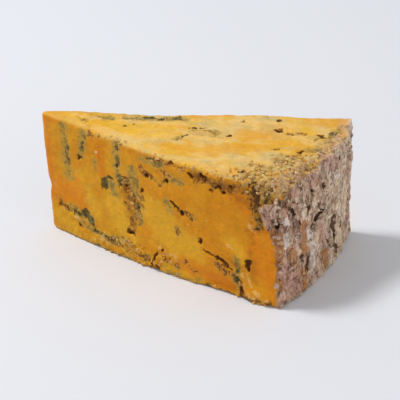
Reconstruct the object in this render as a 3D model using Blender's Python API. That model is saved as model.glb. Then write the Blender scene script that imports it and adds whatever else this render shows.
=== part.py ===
# A loose wedge cut from a thick disc of blue cheese, lying on its flat base. Metres, +Z up.
# The tip points to -X, the rind faces +X, and the shorter cut face is on the -Y side. The base lies
# in the plane z = 0, and the origin is the middle of the wedge's box on that plane.

import math

import bmesh
import bpy
from mathutils import Vector, noise

# Driving dimensions
DISC_RADIUS = 0.105  # rim of the disc that the wedge was cut from
THICKNESS = 0.0436  # of the disc, and so of the wedge
FRONT_CUT = 0.0906  # cut face on the -Y side, from the tip to the rind
BACK_CUT = 0.0999  # cut face on the +Y side, from the tip to the rind
APEX_ANGLE = math.radians(31.2)  # between the two cut faces
TIP_WIDTH = 0.0024  # the tip is blunt: a narrow upright strip

# How far the top edge stands inside the base at each corner: the wedge narrows upwards
FRONT_CORNER_LEAN = Vector((-0.0038, 0.0030))
BACK_CORNER_LEAN = Vector((-0.0012, 0.0006))
TIP_LEAN = Vector((-0.0024, -0.0012))

# How far each wall swells past a straight cut
FRONT_SWELL = 0.0028
FRONT_SWELL_SHIFT = 0.8  # at the top the front wall swells most nearer the rind
BACK_SWELL = 0.0014
TIP_SWELL = 0.0003
SHOULDER_SWELL = 0.0024  # more at the top of the rind, near the back corner

# Rounding of the edges
CUT_EDGE_ROUND = 0.0007  # where a cut face meets the top and the base
RIND_TOP_ROUND = 0.0024
RIND_BASE_ROUND = 0.0034  # the rind curls under at the base
FRONT_CORNER_ROUND = 0.0026
BACK_CORNER_ROUND = 0.0032
TIP_CORNER_ROUND = 0.0007
CORNER_RIND = 0.35  # how much of the rind's rounding and relief its two corners take
RIND_TAPER = 0.007  # the rest comes in over this distance from each corner

# Unevenness: height of the relief, and the size of its lumps
PASTE_RELIEF = 0.0005
PASTE_LUMP = 0.009
RIND_RELIEF = 0.0014
RIND_LUMP = 0.0085
TOP_RELIEF = 0.0006
TOP_LUMP = 0.022
TIP_RISE = 0.0012  # the top lifts a little towards the tip

# Chips broken out of the walls: wall, place along it from 0 to 1, height, radius and depth
CHIPS = (
    ("front", 0.47, 0.0015, 0.0032, 0.0016),
    ("front", 0.79, 0.0090, 0.0034, 0.0010),
    ("front", 0.60, 0.0420, 0.0045, 0.0011),
    ("front", 0.83, 0.0395, 0.0050, 0.0013),
    ("tip", 0.50, 0.0170, 0.0040, 0.0013),
    ("back", 0.52, 0.0436, 0.0060, 0.0014),
    ("back", 0.24, 0.0030, 0.0040, 0.0012),
    ("rind", 0.28, 0.0230, 0.0040, 0.0016),
    ("rind", 0.62, 0.0260, 0.0038, 0.0016),
    ("rind", 0.16, 0.0380, 0.0050, 0.0015),
)

# Fineness of the mesh
WALL_STEP = 0.0025  # up a wall
WALL_COUNTS = {"tip": 2, "front": 34, "rind": 20, "back": 38}  # pieces along each wall
CORNER_POINTS = 3
CAP_RINGS = 9

# Finish
PASTE_COLOUR = (0.640, 0.290, 0.050, 1.0)
PASTE_ROUGHNESS = 0.55


def corners(height):
    """The outline's four corners, from 0 at the base to 1 at the top, going round from the tip's back."""
    half = APEX_ANGLE / 2.0
    tip_front = Vector((0.0, -TIP_WIDTH / 2.0))
    tip_back = Vector((0.0, TIP_WIDTH / 2.0))
    front = tip_front + Vector((math.cos(half), -math.sin(half))) * FRONT_CUT
    back = tip_back + Vector((math.cos(half), math.sin(half))) * BACK_CUT
    return (
        tip_back + TIP_LEAN * height,
        tip_front + TIP_LEAN * height,
        front + FRONT_CORNER_LEAN * height,
        back + BACK_CORNER_LEAN * height,
    )


def swell(wall, along, height, length):
    """How far the wall stands outside the straight line between its corners."""
    bow = 4.0 * along * (1.0 - along)
    if wall == "tip":
        return TIP_SWELL * bow
    if wall == "front":
        return FRONT_SWELL * math.sin(math.pi * along ** (1.0 + FRONT_SWELL_SHIFT * height))
    if wall == "back":
        return BACK_SWELL * bow
    reach = (along - 0.5) * length
    arc = math.sqrt(DISC_RADIUS**2 - reach**2) - math.sqrt(DISC_RADIUS**2 - (length / 2.0) ** 2)
    shoulder = SHOULDER_SWELL * height**2 * math.sin(math.pi * along**1.8)
    return arc + shoulder


def wall_point(wall, start, end, along, height):
    """A point of the wall, set in where a chip has broken out."""
    run = end - start
    outward = Vector((run.y, -run.x)).normalized()
    point = start + run * along + outward * swell(wall, along, height, run.length)
    chipped = 0.0
    for place, centre, level, radius, depth in CHIPS:
        if place == wall:
            away = math.hypot((along - centre) * run.length, height * THICKNESS - level)
            chipped += depth * math.exp(-((away / radius) ** 2))
    return point - outward * chipped


def rind_share(along, length):
    """How much of the rind's rounding and relief a point of the rind wall takes."""
    reach = min(1.0, min(along, 1.0 - along) * length / RIND_TAPER)
    return CORNER_RIND + (1.0 - CORNER_RIND) * reach * reach * (3.0 - 2.0 * reach)


def outline(height):
    """The wedge's outline at one height, as (point, share of rind) pairs."""
    tip_back, tip_front, front, back = corners(height)
    walls = (
        ("tip", tip_back, tip_front, TIP_CORNER_ROUND, TIP_CORNER_ROUND),
        ("front", tip_front, front, TIP_CORNER_ROUND, FRONT_CORNER_ROUND),
        ("rind", front, back, FRONT_CORNER_ROUND, BACK_CORNER_ROUND),
        ("back", back, tip_back, BACK_CORNER_ROUND, TIP_CORNER_ROUND),
    )
    points = []
    for index, (wall, start, end, first_round, last_round) in enumerate(walls):
        length = (end - start).length
        low = first_round / length
        high = 1.0 - last_round / length
        count = WALL_COUNTS[wall]
        for step in range(count + 1):
            along = low + (high - low) * step / count
            share = rind_share(along, length) if wall == "rind" else 0.0
            points.append((wall_point(wall, start, end, along, height), share))
        following = walls[(index + 1) % len(walls)]
        next_length = (following[2] - following[1]).length
        leave = wall_point(wall, start, end, high, height)
        arrive = wall_point(*following[:3], last_round / next_length, height)
        share = CORNER_RIND if "rind" in (wall, following[0]) else 0.0
        for step in range(1, CORNER_POINTS):
            mix = step / CORNER_POINTS
            curve = leave * (1 - mix) ** 2 + end * 2 * mix * (1 - mix) + arrive * mix**2
            points.append((curve, share))
    return points


def edge_inset(level, rind):
    """How far the rounded edges pull the wall in at this height."""
    base_round = CUT_EDGE_ROUND + (RIND_BASE_ROUND - CUT_EDGE_ROUND) * rind
    top_round = CUT_EDGE_ROUND + (RIND_TOP_ROUND - CUT_EDGE_ROUND) * rind
    inset = 0.0
    if level < base_round:
        inset += base_round * (1.0 - math.sqrt(1.0 - (1.0 - level / base_round) ** 2))
    below_top = THICKNESS - level
    if below_top < top_round:
        inset += top_round * (1.0 - math.sqrt(1.0 - (1.0 - below_top / top_round) ** 2))
    return inset


def relief(point, rind):
    """Lumps and hollows of the surface: fine on the cut paste, coarse on the rind."""
    paste = PASTE_RELIEF * noise.noise(point / PASTE_LUMP)
    crust = RIND_RELIEF * noise.fractal(point / RIND_LUMP, 1.0, 2.0, 2)
    return paste * (1.0 - rind) + crust * rind


def top_rise(x, y):
    """How far the top stands above its plane."""
    waves = TOP_RELIEF * noise.noise(Vector((x, y, 0.0)) / TOP_LUMP)
    tip = TIP_RISE * max(0.0, 1.0 - x / (0.35 * FRONT_CUT)) ** 2
    return waves + tip


def levels():
    """Heights of the rings up the wall, closer together at the rounded edges."""
    low = [0.0, 0.0005, 0.0012, 0.0022, 0.0038]
    high = [THICKNESS - 0.0022, THICKNESS - 0.0012, THICKNESS - 0.0005, THICKNESS]
    count = round((high[0] - low[-1]) / WALL_STEP)
    middle = [low[-1] + (high[0] - low[-1]) * step / count for step in range(1, count)]
    return low + middle + high


def ring(level):
    """One ring of points round the wedge, as it stands after rounding and relief."""
    flat = outline(level / THICKNESS)
    placed = []
    for index, (point, rind) in enumerate(flat):
        before = flat[index - 1][0]
        after = flat[(index + 1) % len(flat)][0]
        run = after - before
        outward = Vector((run.y, -run.x)).normalized()
        moved = point - outward * edge_inset(level, rind)
        moved += outward * relief(Vector((point.x, point.y, level)), rind)
        rise = top_rise(moved.x, moved.y) * (level / THICKNESS) ** 4
        placed.append(Vector((moved.x, moved.y, level + rise)))
    return placed


def bridge(mesh, lower, upper):
    """Quads between two rings of the same length."""
    for index, corner in enumerate(lower):
        following = (index + 1) % len(lower)
        mesh.faces.new((corner, lower[following], upper[following], upper[index]))


def close_top(mesh, rim):
    """Rings that shrink to the middle of the top and follow its waves, closed by a fan."""
    middle = sum((corner.co for corner in rim), Vector()) / len(rim)
    outer = rim
    for step in range(1, CAP_RINGS):
        share = 1.0 - step / CAP_RINGS
        inner = []
        for corner in rim:
            spot = middle.lerp(corner.co, share)
            spot.z = THICKNESS + top_rise(spot.x, spot.y)
            inner.append(mesh.verts.new(spot))
        bridge(mesh, outer, inner)
        outer = inner
    peak = mesh.verts.new((middle.x, middle.y, THICKNESS + top_rise(middle.x, middle.y)))
    for index, corner in enumerate(outer):
        mesh.faces.new((corner, outer[(index + 1) % len(outer)], peak))


def paste_finish():
    """The orange paste of the cheese."""
    material = bpy.data.materials.new("paste")
    material.use_nodes = True
    shader = material.node_tree.nodes["Principled BSDF"]
    shader.inputs["Base Color"].default_value = PASTE_COLOUR
    shader.inputs["Roughness"].default_value = PASTE_ROUGHNESS
    shader.inputs["Metallic"].default_value = 0.0
    material.diffuse_color = PASTE_COLOUR
    return material


def cheese_wedge():
    """The whole wedge as one closed body, its base flat on z = 0."""
    mesh = bmesh.new()
    rings = [[mesh.verts.new(spot) for spot in ring(level)] for level in levels()]
    for lower, upper in zip(rings, rings[1:]):
        bridge(mesh, lower, upper)
    mesh.faces.new(reversed(rings[0]))
    close_top(mesh, rings[-1])

    xs = [corner.co.x for corner in mesh.verts]
    ys = [corner.co.y for corner in mesh.verts]
    shift = Vector((-(min(xs) + max(xs)) / 2.0, -(min(ys) + max(ys)) / 2.0, 0.0))
    bmesh.ops.translate(mesh, verts=mesh.verts, vec=shift)
    bmesh.ops.recalc_face_normals(mesh, faces=mesh.faces)

    data = bpy.data.meshes.new("cheese_wedge")
    mesh.to_mesh(data)
    mesh.free()
    data.shade_smooth()
    data.set_sharp_from_angle(angle=math.radians(40.0))
    data.materials.append(paste_finish())
    wedge = bpy.data.objects.new("cheese_wedge", data)
    bpy.context.scene.collection.objects.link(wedge)
    return wedge


for old in list(bpy.data.objects):
    bpy.data.objects.remove(old, do_unlink=True)

cheese_wedge()
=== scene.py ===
import math
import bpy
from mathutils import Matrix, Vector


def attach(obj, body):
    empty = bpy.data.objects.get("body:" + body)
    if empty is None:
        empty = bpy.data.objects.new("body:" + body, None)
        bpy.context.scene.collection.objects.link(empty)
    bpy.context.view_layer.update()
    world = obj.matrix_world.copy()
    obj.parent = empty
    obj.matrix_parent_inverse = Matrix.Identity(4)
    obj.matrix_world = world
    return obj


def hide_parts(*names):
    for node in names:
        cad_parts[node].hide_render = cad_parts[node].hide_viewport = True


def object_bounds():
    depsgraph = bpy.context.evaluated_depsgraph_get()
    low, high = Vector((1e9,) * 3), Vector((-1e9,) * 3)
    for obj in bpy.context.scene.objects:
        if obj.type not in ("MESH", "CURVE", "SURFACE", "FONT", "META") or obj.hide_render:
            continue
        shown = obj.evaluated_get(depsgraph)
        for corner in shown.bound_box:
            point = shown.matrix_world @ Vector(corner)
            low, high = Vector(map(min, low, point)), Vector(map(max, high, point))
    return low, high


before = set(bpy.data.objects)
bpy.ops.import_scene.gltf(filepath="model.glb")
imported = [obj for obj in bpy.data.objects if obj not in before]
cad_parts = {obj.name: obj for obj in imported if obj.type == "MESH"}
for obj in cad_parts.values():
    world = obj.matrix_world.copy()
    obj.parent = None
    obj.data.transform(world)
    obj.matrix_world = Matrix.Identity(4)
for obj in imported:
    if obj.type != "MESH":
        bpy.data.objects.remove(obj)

from types import SimpleNamespace

import bpy
import numpy as np
from mathutils import Vector

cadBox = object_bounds()
print("frame loaded")

# lengths are in millimetres, from the foot of the tip, until a mesh is made
wedge = {
    "discRadius": 105,
    "thickness": 43.6,
    "frontCut": 90.6,
    "backCut": 99.9,
    "apexAngle": 31.2,  # degrees between the cuts
    "tipWidth": 2.4,
    "tipLean": (-2.4, -1.2),  # how far the top stands off the base at each corner
    "frontLean": (-3.8, 3),
    "backLean": (-1.2, 0.6),
    "frontSwell": 2.8,
    "frontSwellShift": 0.8,
    "backSwell": 1.4,
    "tipSwell": 0.3,
    "shoulderSwell": 2.4,
    "topWave": 0.6,
    "tipRise": 1.2,
    "cutEdge": 1,  # how softly the cut faces meet
    "rindEdge": 2.6,
    "shoulderWear": 5,  # how much rounder the rind's front corner is near the top
    "rindWrap": 4.5,  # how far the rind laps onto the front cut there
    "rimLap": 3.4,  # how far the loose paste of the top laps over the rind
    "cornerLap": 2.4,  # how much further at the front corner
    "rimWear": 2.6,  # how much rounder the rim is where it crumbles above the rind
    "baseEdge": 1.2,
    "gridLow": (-5, -29, -1.5),
    "gridHigh": (101, 32, 47.5),
    "grain": 0.5,  # spacing of the grid that the skin is drawn from
    "least": 0.02,  # nearest that the field comes to nought at a grid point
    "mends": 12,  # rounds of filling in where the skin would touch itself
    "holeReach": 2.8,  # how far below the plain faces holes may go
    "crustReach": 1.3,  # how far above them crust and crumbs may stand
}

# marks on a face: across and up where each starts and ends, and how wide it is
frontMarks = {
    "olive": [
        (8.5, 42.5, 9, 23.5, 3.4), (16.8, 43, 15.2, 33, 2.6), (21, 35.5, 21, 30, 1.3),
        (29.8, 43, 30.2, 31, 2.8), (36, 35, 37.5, 27.5, 4.2), (31, 31, 33, 29, 3),
        (27.5, 27, 28.5, 24, 3.6), (50, 28, 51.5, 24.5, 2.6), (75.4, 14, 76, 3, 2.6),
        (17.5, 6.5, 28, 5, 3.4), (12, 7, 17, 6, 2), (40, 40, 49, 40.5, 2.6), (49, 35.5, 56, 37, 3),
        (10.5, 11, 18, 10, 4.4), (38, 21, 38.5, 15, 3), (84.6, 41, 85.6, 31, 2.6), (6, 1, 34, 1, 1.2),
        (50, 1, 62, 1, 1.4), (31, 7, 36, 4.6, 1.8),
    ],
    "mould": [
        (24.9, 26.6, 24.7, 24.2, 2.4), (11, 10.2, 13, 10.6, 1.6), (15.2, 11.6, 17.4, 9.6, 3.6),
        (18.5, 8, 19, 6.6, 1.6), (20, 6, 25, 5.6, 1.2), (30, 41, 30.2, 34, 0.7), (16.6, 41, 15.9, 36, 0.6),
        (9.1, 35, 9.3, 29, 0.6), (25.6, 28.2, 28, 29, 1.2), (75.6, 11, 75.8, 5, 1.2),
        (52.6, 27.8, 56, 25.4, 0.9), (31, 30, 30.4, 27.6, 1.4), (38.4, 21.4, 37, 20.4, 1.3),
        (42, 41.6, 46, 41.2, 1),
    ],
    "mauve": [
        (30.5, 27.5, 34, 28.6, 3.2), (33.2, 25.2, 39.2, 26.2, 1.7), (34, 25, 37.4, 19.8, 1.6),
        (37.6, 19.8, 35.2, 16.2, 1.6), (35.2, 16.2, 37.2, 12.8, 1.5), (40.3, 29.4, 39.9, 25.4, 1.9),
        (3.6, 12.4, 8, 10, 3), (54.4, 19, 54.8, 18.4, 3), (58, 25.6, 60.6, 24.6, 2.4),
        (36.6, 24.6, 40, 22, 1.8), (46, 38, 52, 38.4, 2.2), (33, 22, 34.6, 19, 1.6),
        (33.4, 29.6, 38, 20, 4.6), (36, 20, 35.6, 11.6, 3), (40.6, 36.4, 47, 33.4, 2),
        (17, 43, 34, 42.8, 1.7), (40, 42.4, 58, 41.6, 1.6), (62, 40.6, 76, 39.6, 3.4),
        (30.4, 40, 30.4, 34, 1.4), (9.2, 34, 9.4, 28, 1.6), (24, 5, 42, 3.4, 2.4), (68, 10.6, 74, 8, 2.4),
        (47, 6, 54, 4.6, 1.8), (76.6, 6, 78.4, 1, 2.6), (80, 1.4, 88, 0.8, 1.8), (56, 7, 60, 5, 1.6),
        (84, 26, 86, 22, 1.4),
    ],
    "hole": [
        (34.6, 11, 34.4, 10.5, 2), (43.4, 2.2, 44, 1, 2.8), (47, 9.4, 47.2, 8.8, 1.2),
        (52.6, 42.4, 53.2, 42.2, 1.5), (58.6, 41.2, 60.4, 40.8, 1.5), (62.8, 41.4, 65, 41, 1.6),
        (60.5, 39.2, 61.1, 38.8, 1.1), (64.1, 39.8, 64.7, 39.4, 1.1), (69.2, 38.8, 70.4, 38.4, 1.2),
        (73.6, 40.3, 74.4, 39.8, 1.2), (49.3, 35.7, 50, 35.3, 1.5), (42.3, 34.9, 42.7, 34.5, 1.1),
        (62.3, 17.1, 62.6, 16.4, 1.5), (79.7, 14.8, 79.4, 11.8, 2), (12.4, 5.7, 12.6, 4.9, 1.1),
        (14.4, 32.8, 14.8, 32.4, 1), (33.4, 28.3, 34, 27.8, 1.2), (3.6, 11.8, 3.8, 11.2, 1),
        (66.6, 37.5, 67, 37.1, 1), (40.2, 29, 40, 27.2, 0.9), (71.6, 37.8, 72.2, 37.4, 1.1),
    ],
    "crack": [
        (52, 28.2, 56.6, 25.2, 1.1), (64, 14.8, 68.6, 12.2, 0.9), (68.4, 12.4, 73, 11, 1.5),
        (77.6, 3.4, 77, 1, 1.6), (43.5, 4.6, 45.6, 7.4, 0.9),
    ],
    "cream": [
        (49.2, 8.8, 53, 8, 1.8), (80, 28.6, 82.8, 26.2, 1.2), (81.6, 31, 84, 28.4, 1),
        (83, 4.2, 86.5, 2.4, 1.4), (80, 3.4, 82, 1.6, 1.4), (77, 9.6, 78.6, 7.4, 1.4),
        (21, 4.4, 24, 3.6, 1.4), (72.5, 18.5, 74, 17.5, 1.4), (45.5, 9.4, 46.2, 10.4, 1),
        (10, 8.4, 11.6, 7.8, 1.4), (79.6, 9.4, 80.4, 6.4, 1.8),
    ],
    "orange": [
        (4, 18, 12, 16, 8), (12, 22, 14, 14, 5), (57, 6, 72, 4, 6), (86.8, 29, 87.4, 9, 3),
        (22.5, 38, 23, 30, 3.8), (76, 37, 80, 34, 5), (82, 27, 83, 12, 5), (0, 43, 1.6, 14, 6),
    ],
    "gold": [
        (28, 20, 34, 8, 8), (44, 22, 58, 12, 12), (30, 5, 62, 3, 5), (12, 24, 20, 14, 6),
        (74, 20, 78, 14, 5), (3, 6, 8, 4, 5),
    ],
    # the thin strokes along the foot, 0.2 to 0.3 up, are painted contact shadow together with dark mould; the
    # rest are dark marks by the rind's front corner
    "dark": [
        (82, 43, 82.6, 36, 2.2), (83, 36, 83.6, 28, 2.6), (80.2, 41, 81, 34, 1), (85.6, 42, 86.2, 35, 2),
        (77.6, 41.6, 78.6, 39, 1), (16, 0.3, 30, 0.3, 0.6), (42, 0.2, 52, 0.2, 1), (60, 0.3, 76, 0.3, 0.8),
        (79, 0.2, 88, 0.2, 1),
    ],
    # soft painted shade, mostly just under the top rim and beside the rind's front corner
    "paintedShadow": [
        (82, 44, 83.6, 28, 4), (60, 41, 80, 40, 2.6), (72, 40, 79, 36, 3), (33, 26, 36, 14, 2.6),
        (74, 12, 80, 12, 1.6), (80.4, 26, 81.6, 8, 1),
    ],
}
backMarks = {
    "olive": [
        (14, 43, 13.4, 21, 3), (27, 43, 28, 17, 2.6), (41, 43, 40.4, 26, 2.4), (55, 14, 68, 17, 3.4),
        (72, 43, 72.6, 30, 2.4),
    ],
    "mould": [
        (13.8, 38, 13.6, 27, 1.3), (27.4, 40, 27.8, 24, 1.4), (57, 14.6, 62, 15.6, 1.8),
        (63, 17.4, 67, 16.4, 1.5), (34, 12, 37, 9.6, 2.2), (47, 33, 48.6, 30.4, 2),
    ],
    "mauve": [(35, 14, 40, 10, 3.4), (48, 35, 52, 29, 3.2), (60, 20, 66, 13.6, 2.6)],
    "hole": [
        (22, 8.4, 22.6, 7.6, 2.4), (50.6, 29, 51.2, 28.2, 2), (78, 24, 78.4, 21, 1.8),
        (66, 38.8, 67.4, 38.2, 2.2), (36, 37, 37.2, 36.4, 2), (85, 10.2, 85.6, 9.4, 1.6),
    ],
    "crack": [(74, 12.6, 81, 9.4, 1.1), (17, 19.6, 21.6, 17.6, 1)],
    "cream": [(30, 6.4, 34, 5.4, 1.8), (60, 8, 62.6, 7.2, 1.6), (88, 33, 90.4, 31, 1.6)],
    "orange": [(80, 34, 92, 12, 9), (6, 12, 16, 10, 8), (44, 6, 66, 4, 6)],
    "gold": [(20, 30, 34, 22, 9), (50, 24, 66, 30, 11)],
    "dark": [(94, 41, 95, 33, 2.6)],
}
topMarks = {
    "olive": [
        (24, 6, 42.6, 11.2, 3.4), (10.4, -1.6, 13.2, -1.4, 2), (45, -2.6, 47, 1.6, 2.6),
        (50, 3.2, 56, 4.8, 5), (14, 1.6, 20, 3.4, 3), (93, 12, 94, 20, 4), (72, -17.6, 80, -19, 3),
        (88, 3, 91, 9, 4),
    ],
    "mould": [
        (39.6, 10.8, 41.8, 11.4, 1.6), (26.2, 0.6, 26.8, 1, 1.3), (28.2, 1.8, 28.8, 2.2, 1.3),
        (11.6, -1.6, 12.4, -1.5, 1.1), (46, -1.4, 47, 0.8, 1.3), (47.6, 5.8, 48.4, 6.6, 1.2),
        (30, 8.4, 36, 10, 0.9), (89, 12.4, 91, 13.2, 1), (92.4, 16.4, 93, 17.4, 1.2),
    ],
    "mauve": [
        (49, 6.6, 51, 8.2, 2.4), (78, 12, 84, 14, 2.4), (76, 1, 79, 2.6, 2), (80, -6, 85, -1, 4),
        (45.4, -3.4, 46.4, -2.4, 2), (86, 9, 88, 11, 2),
    ],
    "hole": [
        (60, 4.2, 60.8, 4.6, 1.2), (62, 15, 62.8, 15.4, 1.1), (74.4, 13, 75.2, 13.6, 1.6),
        (73, 18.6, 73.8, 19, 1.1), (84.8, 1.6, 85.8, 2.2, 1.9), (82.4, -4.8, 83, -4.2, 1.5),
        (77.6, 0.4, 78.4, 1, 1.3), (76, -14.6, 76.6, -14.2, 1.2), (88.6, 13.8, 89.8, 14.2, 1.1),
        (84, -6.2, 84.6, -5.8, 1.6), (90.4, -11.2, 90.8, -10.8, 1.8), (70.6, -17, 71.2, -16.6, 1.2),
    ],
    "cream": [
        (18, -4.6, 30, -7.6, 5), (8, 0.6, 16, 1, 3), (48, 2, 60, 3, 6), (57, 13, 63, 17, 4),
        (74, -12, 84, -9, 7), (82, 10, 90, 8, 5), (52, -10, 62, -14, 3), (36, 6, 44, 8, 3),
    ],
    "gold": [(30, -4, 44, 0, 6), (6, -1, 24, -2, 5)],
    "orange": [
        (-3, -1.6, 3, -2, 7), (58, -7, 70, -1, 7), (43, 13, 56, 17, 2.6), (66, 8, 74, 8, 6),
        (84, 22, 92, 24, 5), (40, -9, 50, -9, 3),
    ],
}
rindMarks = {
    "pit": [
        (8.6, 31.6, 9.2, 30.6, 2.6), (20.8, 23.6, 25, 24.4, 2.4), (1.6, 31.4, 2.4, 29, 1.8),
        (14.6, 42.4, 15.2, 42, 1.9), (17.4, 34.3, 17.8, 33.6, 1.3), (35.4, 38.7, 35.8, 37.9, 1.7),
        (29.4, 32.6, 30.2, 32.2, 1.2), (43, 19, 43.6, 17.6, 1.6), (12.2, 13.6, 12.8, 12.8, 1.2),
        (33, 7.2, 34.2, 6.2, 1.6), (10.8, 26.6, 11.4, 25.6, 1.4),
    ],
    "white": [(4.9, 29.4, 4.2, 21.4, 2.8), (17.6, 20, 19, 4.8, 3), (30, 33.6, 34, 33, 2.2)],
    "cream": [
        (21.8, 34.6, 19.2, 29, 2.2), (9.2, 35.6, 10.6, 34.2, 1.6), (12.6, 35, 14, 26.8, 2.8),
        (28.4, 35.8, 35, 32.4, 3.6), (39.4, 41, 43.8, 12, 5), (26.6, 31, 28.6, 18.6, 3),
        (21.6, 16.6, 22.4, 9, 2.2), (36, 30, 37.4, 16, 2.8), (6.8, 36.6, 8, 34, 1.8),
        (10, 22, 10.6, 15.6, 2), (31, 26, 32, 20.6, 2), (38.4, 10, 41, 4, 3), (1.8, 37, 3.6, 34.4, 1.8),
        (5.6, 38, 6, 35.6, 1.4),
    ],
    "mauve": [
        (26, 42, 32, 37, 5.2), (17.4, 40, 18.8, 36.8, 4.4), (2.6, 12.6, 8.6, 5, 6.4), (23, 21, 25, 13, 3.4),
        (8, 40.6, 10.4, 37, 3.6), (47, 34, 48.6, 10, 3),
    ],
    "dark": [
        (1.2, 43.2, 1.2, 38.6, 1.9), (4.8, 43.2, 4.8, 40, 1.7), (32.2, 17.2, 34.2, 8.8, 3),
        (33.4, 7, 36.4, 3.4, 2), (22.4, 28.4, 24, 25.4, 2.2), (17.8, 24.4, 20, 19.6, 1.8),
        (12.4, 38, 13, 36.4, 1.6), (24.6, 34, 25.6, 30, 1.4), (6.4, 33, 7, 30, 1.4),
        (3.4, 40, 4.4, 34, 1.3), (14.6, 12.6, 15.4, 7.4, 1.4), (16, 30.4, 16.6, 27, 1.4),
        (28, 12, 29.6, 8.6, 1.8),
    ],
    "orange": [
        (0.2, 26, 0.4, 9, 4.4), (13.6, 24.6, 13.2, 15.6, 3.4), (26.2, 7.2, 26, 3.4, 5),
        (13.2, 8, 13.2, 2.8, 3.4), (7.6, 18, 8, 13.6, 3), (19.6, 37, 21, 35.6, 2.2),
    ],
}


def gradientTable(seed):
    rng = np.random.default_rng(seed)
    table = rng.normal(size=(256, 3))
    return table / np.linalg.norm(table, axis=1)[:, None]


gradients = gradientTable(11)


def scrambled(cells, seed):  # a repeatable whole number for each grid cell
    mixed = cells[:, 0] * 73856093 ^ cells[:, 1] * 19349663 ^ cells[:, 2] * 83492791 ^ seed * 39916801
    mixed = (mixed ^ (mixed >> 13)) * 1274126177 & 0x7FFFFFFF
    return mixed ^ (mixed >> 15)


def lumps(points, size, seed):  # smooth noise from about -1 to 1 whose lumps are about size across
    spots = points / size
    cells = np.floor(spots).astype(np.int64)
    parts = spots - cells
    fades = parts**3 * (parts * (parts * 6 - 15) + 10)
    total = np.zeros(len(points))
    for corner in np.ndindex(2, 2, 2):
        step = np.array(corner)
        slope = gradients[scrambled(cells + step, seed) & 255]
        weight = np.where(step == 1, fades, 1 - fades).prod(axis=1)
        total += weight * (slope * (parts - step)).sum(axis=1)
    return total * 1.6


def layered(points, size, seed, layers):  # finer and finer lumps added up
    total = np.zeros(len(points))
    for layer in range(layers):
        total += lumps(points, size / 2**layer, seed + layer * 17) / 2**layer
    return total


def ridged(points, size, seed, layers):  # sharp crests with round hollows between, from about -1 to 1
    total = np.zeros(len(points))
    for layer in range(layers):
        total += (0.5 - np.abs(lumps(points, size / 2**layer, seed + layer * 17))) / 1.8**layer
    return total


def curds(points, size, seed):  # distance to the nearest seed, gap to the second nearest, number of the cell
    spots = points / size
    cells = np.floor(spots).astype(np.int64)
    nearest = np.full(len(points), 9.0)
    second = np.full(len(points), 9.0)
    owner = np.zeros(len(points), dtype=np.int64)
    for shift in np.ndindex(3, 3, 3):
        around = cells + (np.array(shift) - 1)
        code = scrambled(around, seed)
        place = np.stack([(code >> cut & 1023) / 1023 for cut in (0, 10, 20)], axis=1)
        away = np.linalg.norm(around + place - spots, axis=1)
        closer = away < nearest
        second = np.where(closer, nearest, np.minimum(second, away))
        owner = np.where(closer, code, owner)
        nearest = np.where(closer, away, nearest)
    return nearest * size, (second - nearest) * size, (owner & 255) / 255


def ramp(value, low, high):  # 0 below low, 1 above high, smooth between
    share = np.clip((value - low) / (high - low), 0, 1)
    return share * share * (3 - 2 * share)


def window(value, start, rise, end, fall):  # 0 outside start and end, 1 between, smooth at both sides
    return ramp(value, start, start + rise) * ramp(end - value, 0, fall)


def roundedMax(first, second, width):  # the larger of two distances, with a rounded edge
    blend = np.maximum(width - np.abs(first - second), 0)
    return np.maximum(first, second) + blend * blend / (4 * width)


def wedgeCorners(height):  # the outline's corners at a height from 0 to 1: tip back, tip front, front, back
    half = math.radians(wedge["apexAngle"] / 2)
    tipBack = np.array([0, wedge["tipWidth"] / 2])
    tipFront = -tipBack
    front = tipFront + np.array([math.cos(half), -math.sin(half)]) * wedge["frontCut"]
    back = tipBack + np.array([math.cos(half), math.sin(half)]) * wedge["backCut"]
    up = height[:, None]
    tipLean = np.array(wedge["tipLean"])
    return (
        tipBack + tipLean * up,
        tipFront + tipLean * up,
        front + np.array(wedge["frontLean"]) * up,
        back + np.array(wedge["backLean"]) * up,
    )


def swell(wall, along, height, length):  # how far a wall stands outside the straight line between its corners
    inside = np.clip(along, 0, 1)
    bow = 4 * inside * (1 - inside)
    if wall == "tip":
        return wedge["tipSwell"] * bow
    if wall == "front":
        return wedge["frontSwell"] * np.sin(math.pi * inside ** (1 + wedge["frontSwellShift"] * height))
    if wall == "back":
        return wedge["backSwell"] * bow
    reach = (along - 0.5) * length
    radius = wedge["discRadius"]
    arc = np.sqrt(radius**2 - reach**2) - np.sqrt(radius**2 - (length / 2) ** 2)
    return arc + wedge["shoulderSwell"] * height**2 * np.sin(math.pi * inside**1.8)


def wallDistance(points, wall, start, end):  # distance outside a wall, and millimetres along it
    run = end - start
    length = np.linalg.norm(run, axis=1)
    way = run / length[:, None]
    outward = np.stack([way[:, 1], -way[:, 0]], axis=1)
    offset = points[:, :2] - start
    along = (offset * way).sum(axis=1)
    height = np.clip(points[:, 2] / wedge["thickness"], 0, 1)
    return (offset * outward).sum(axis=1) - swell(wall, along / length, height, length), along


def plainFaces(points):  # distance outside each plain face of the wedge, and millimetres along the walls
    height = np.clip(points[:, 2] / wedge["thickness"], 0, 1)
    tipBack, tipFront, front, back = wedgeCorners(height)
    faces = SimpleNamespace()
    faces.tip, _ = wallDistance(points, "tip", tipBack, tipFront)
    faces.front, faces.alongFront = wallDistance(points, "front", tipFront, front)
    faces.rind, faces.alongRind = wallDistance(points, "rind", front, back)
    faces.back, alongBack = wallDistance(points, "back", back, tipBack)
    faces.alongBack = wedge["backCut"] - alongBack
    flat = points * np.array([1, 1, 0])
    rise = wedge["topWave"] * lumps(flat, 22, 3)
    rise += wedge["tipRise"] * np.clip(1 - points[:, 0] / (0.35 * wedge["frontCut"]), 0, 1.4) ** 2
    faces.top = points[:, 2] - wedge["thickness"] - rise
    faces.base = -points[:, 2]
    return faces


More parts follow.
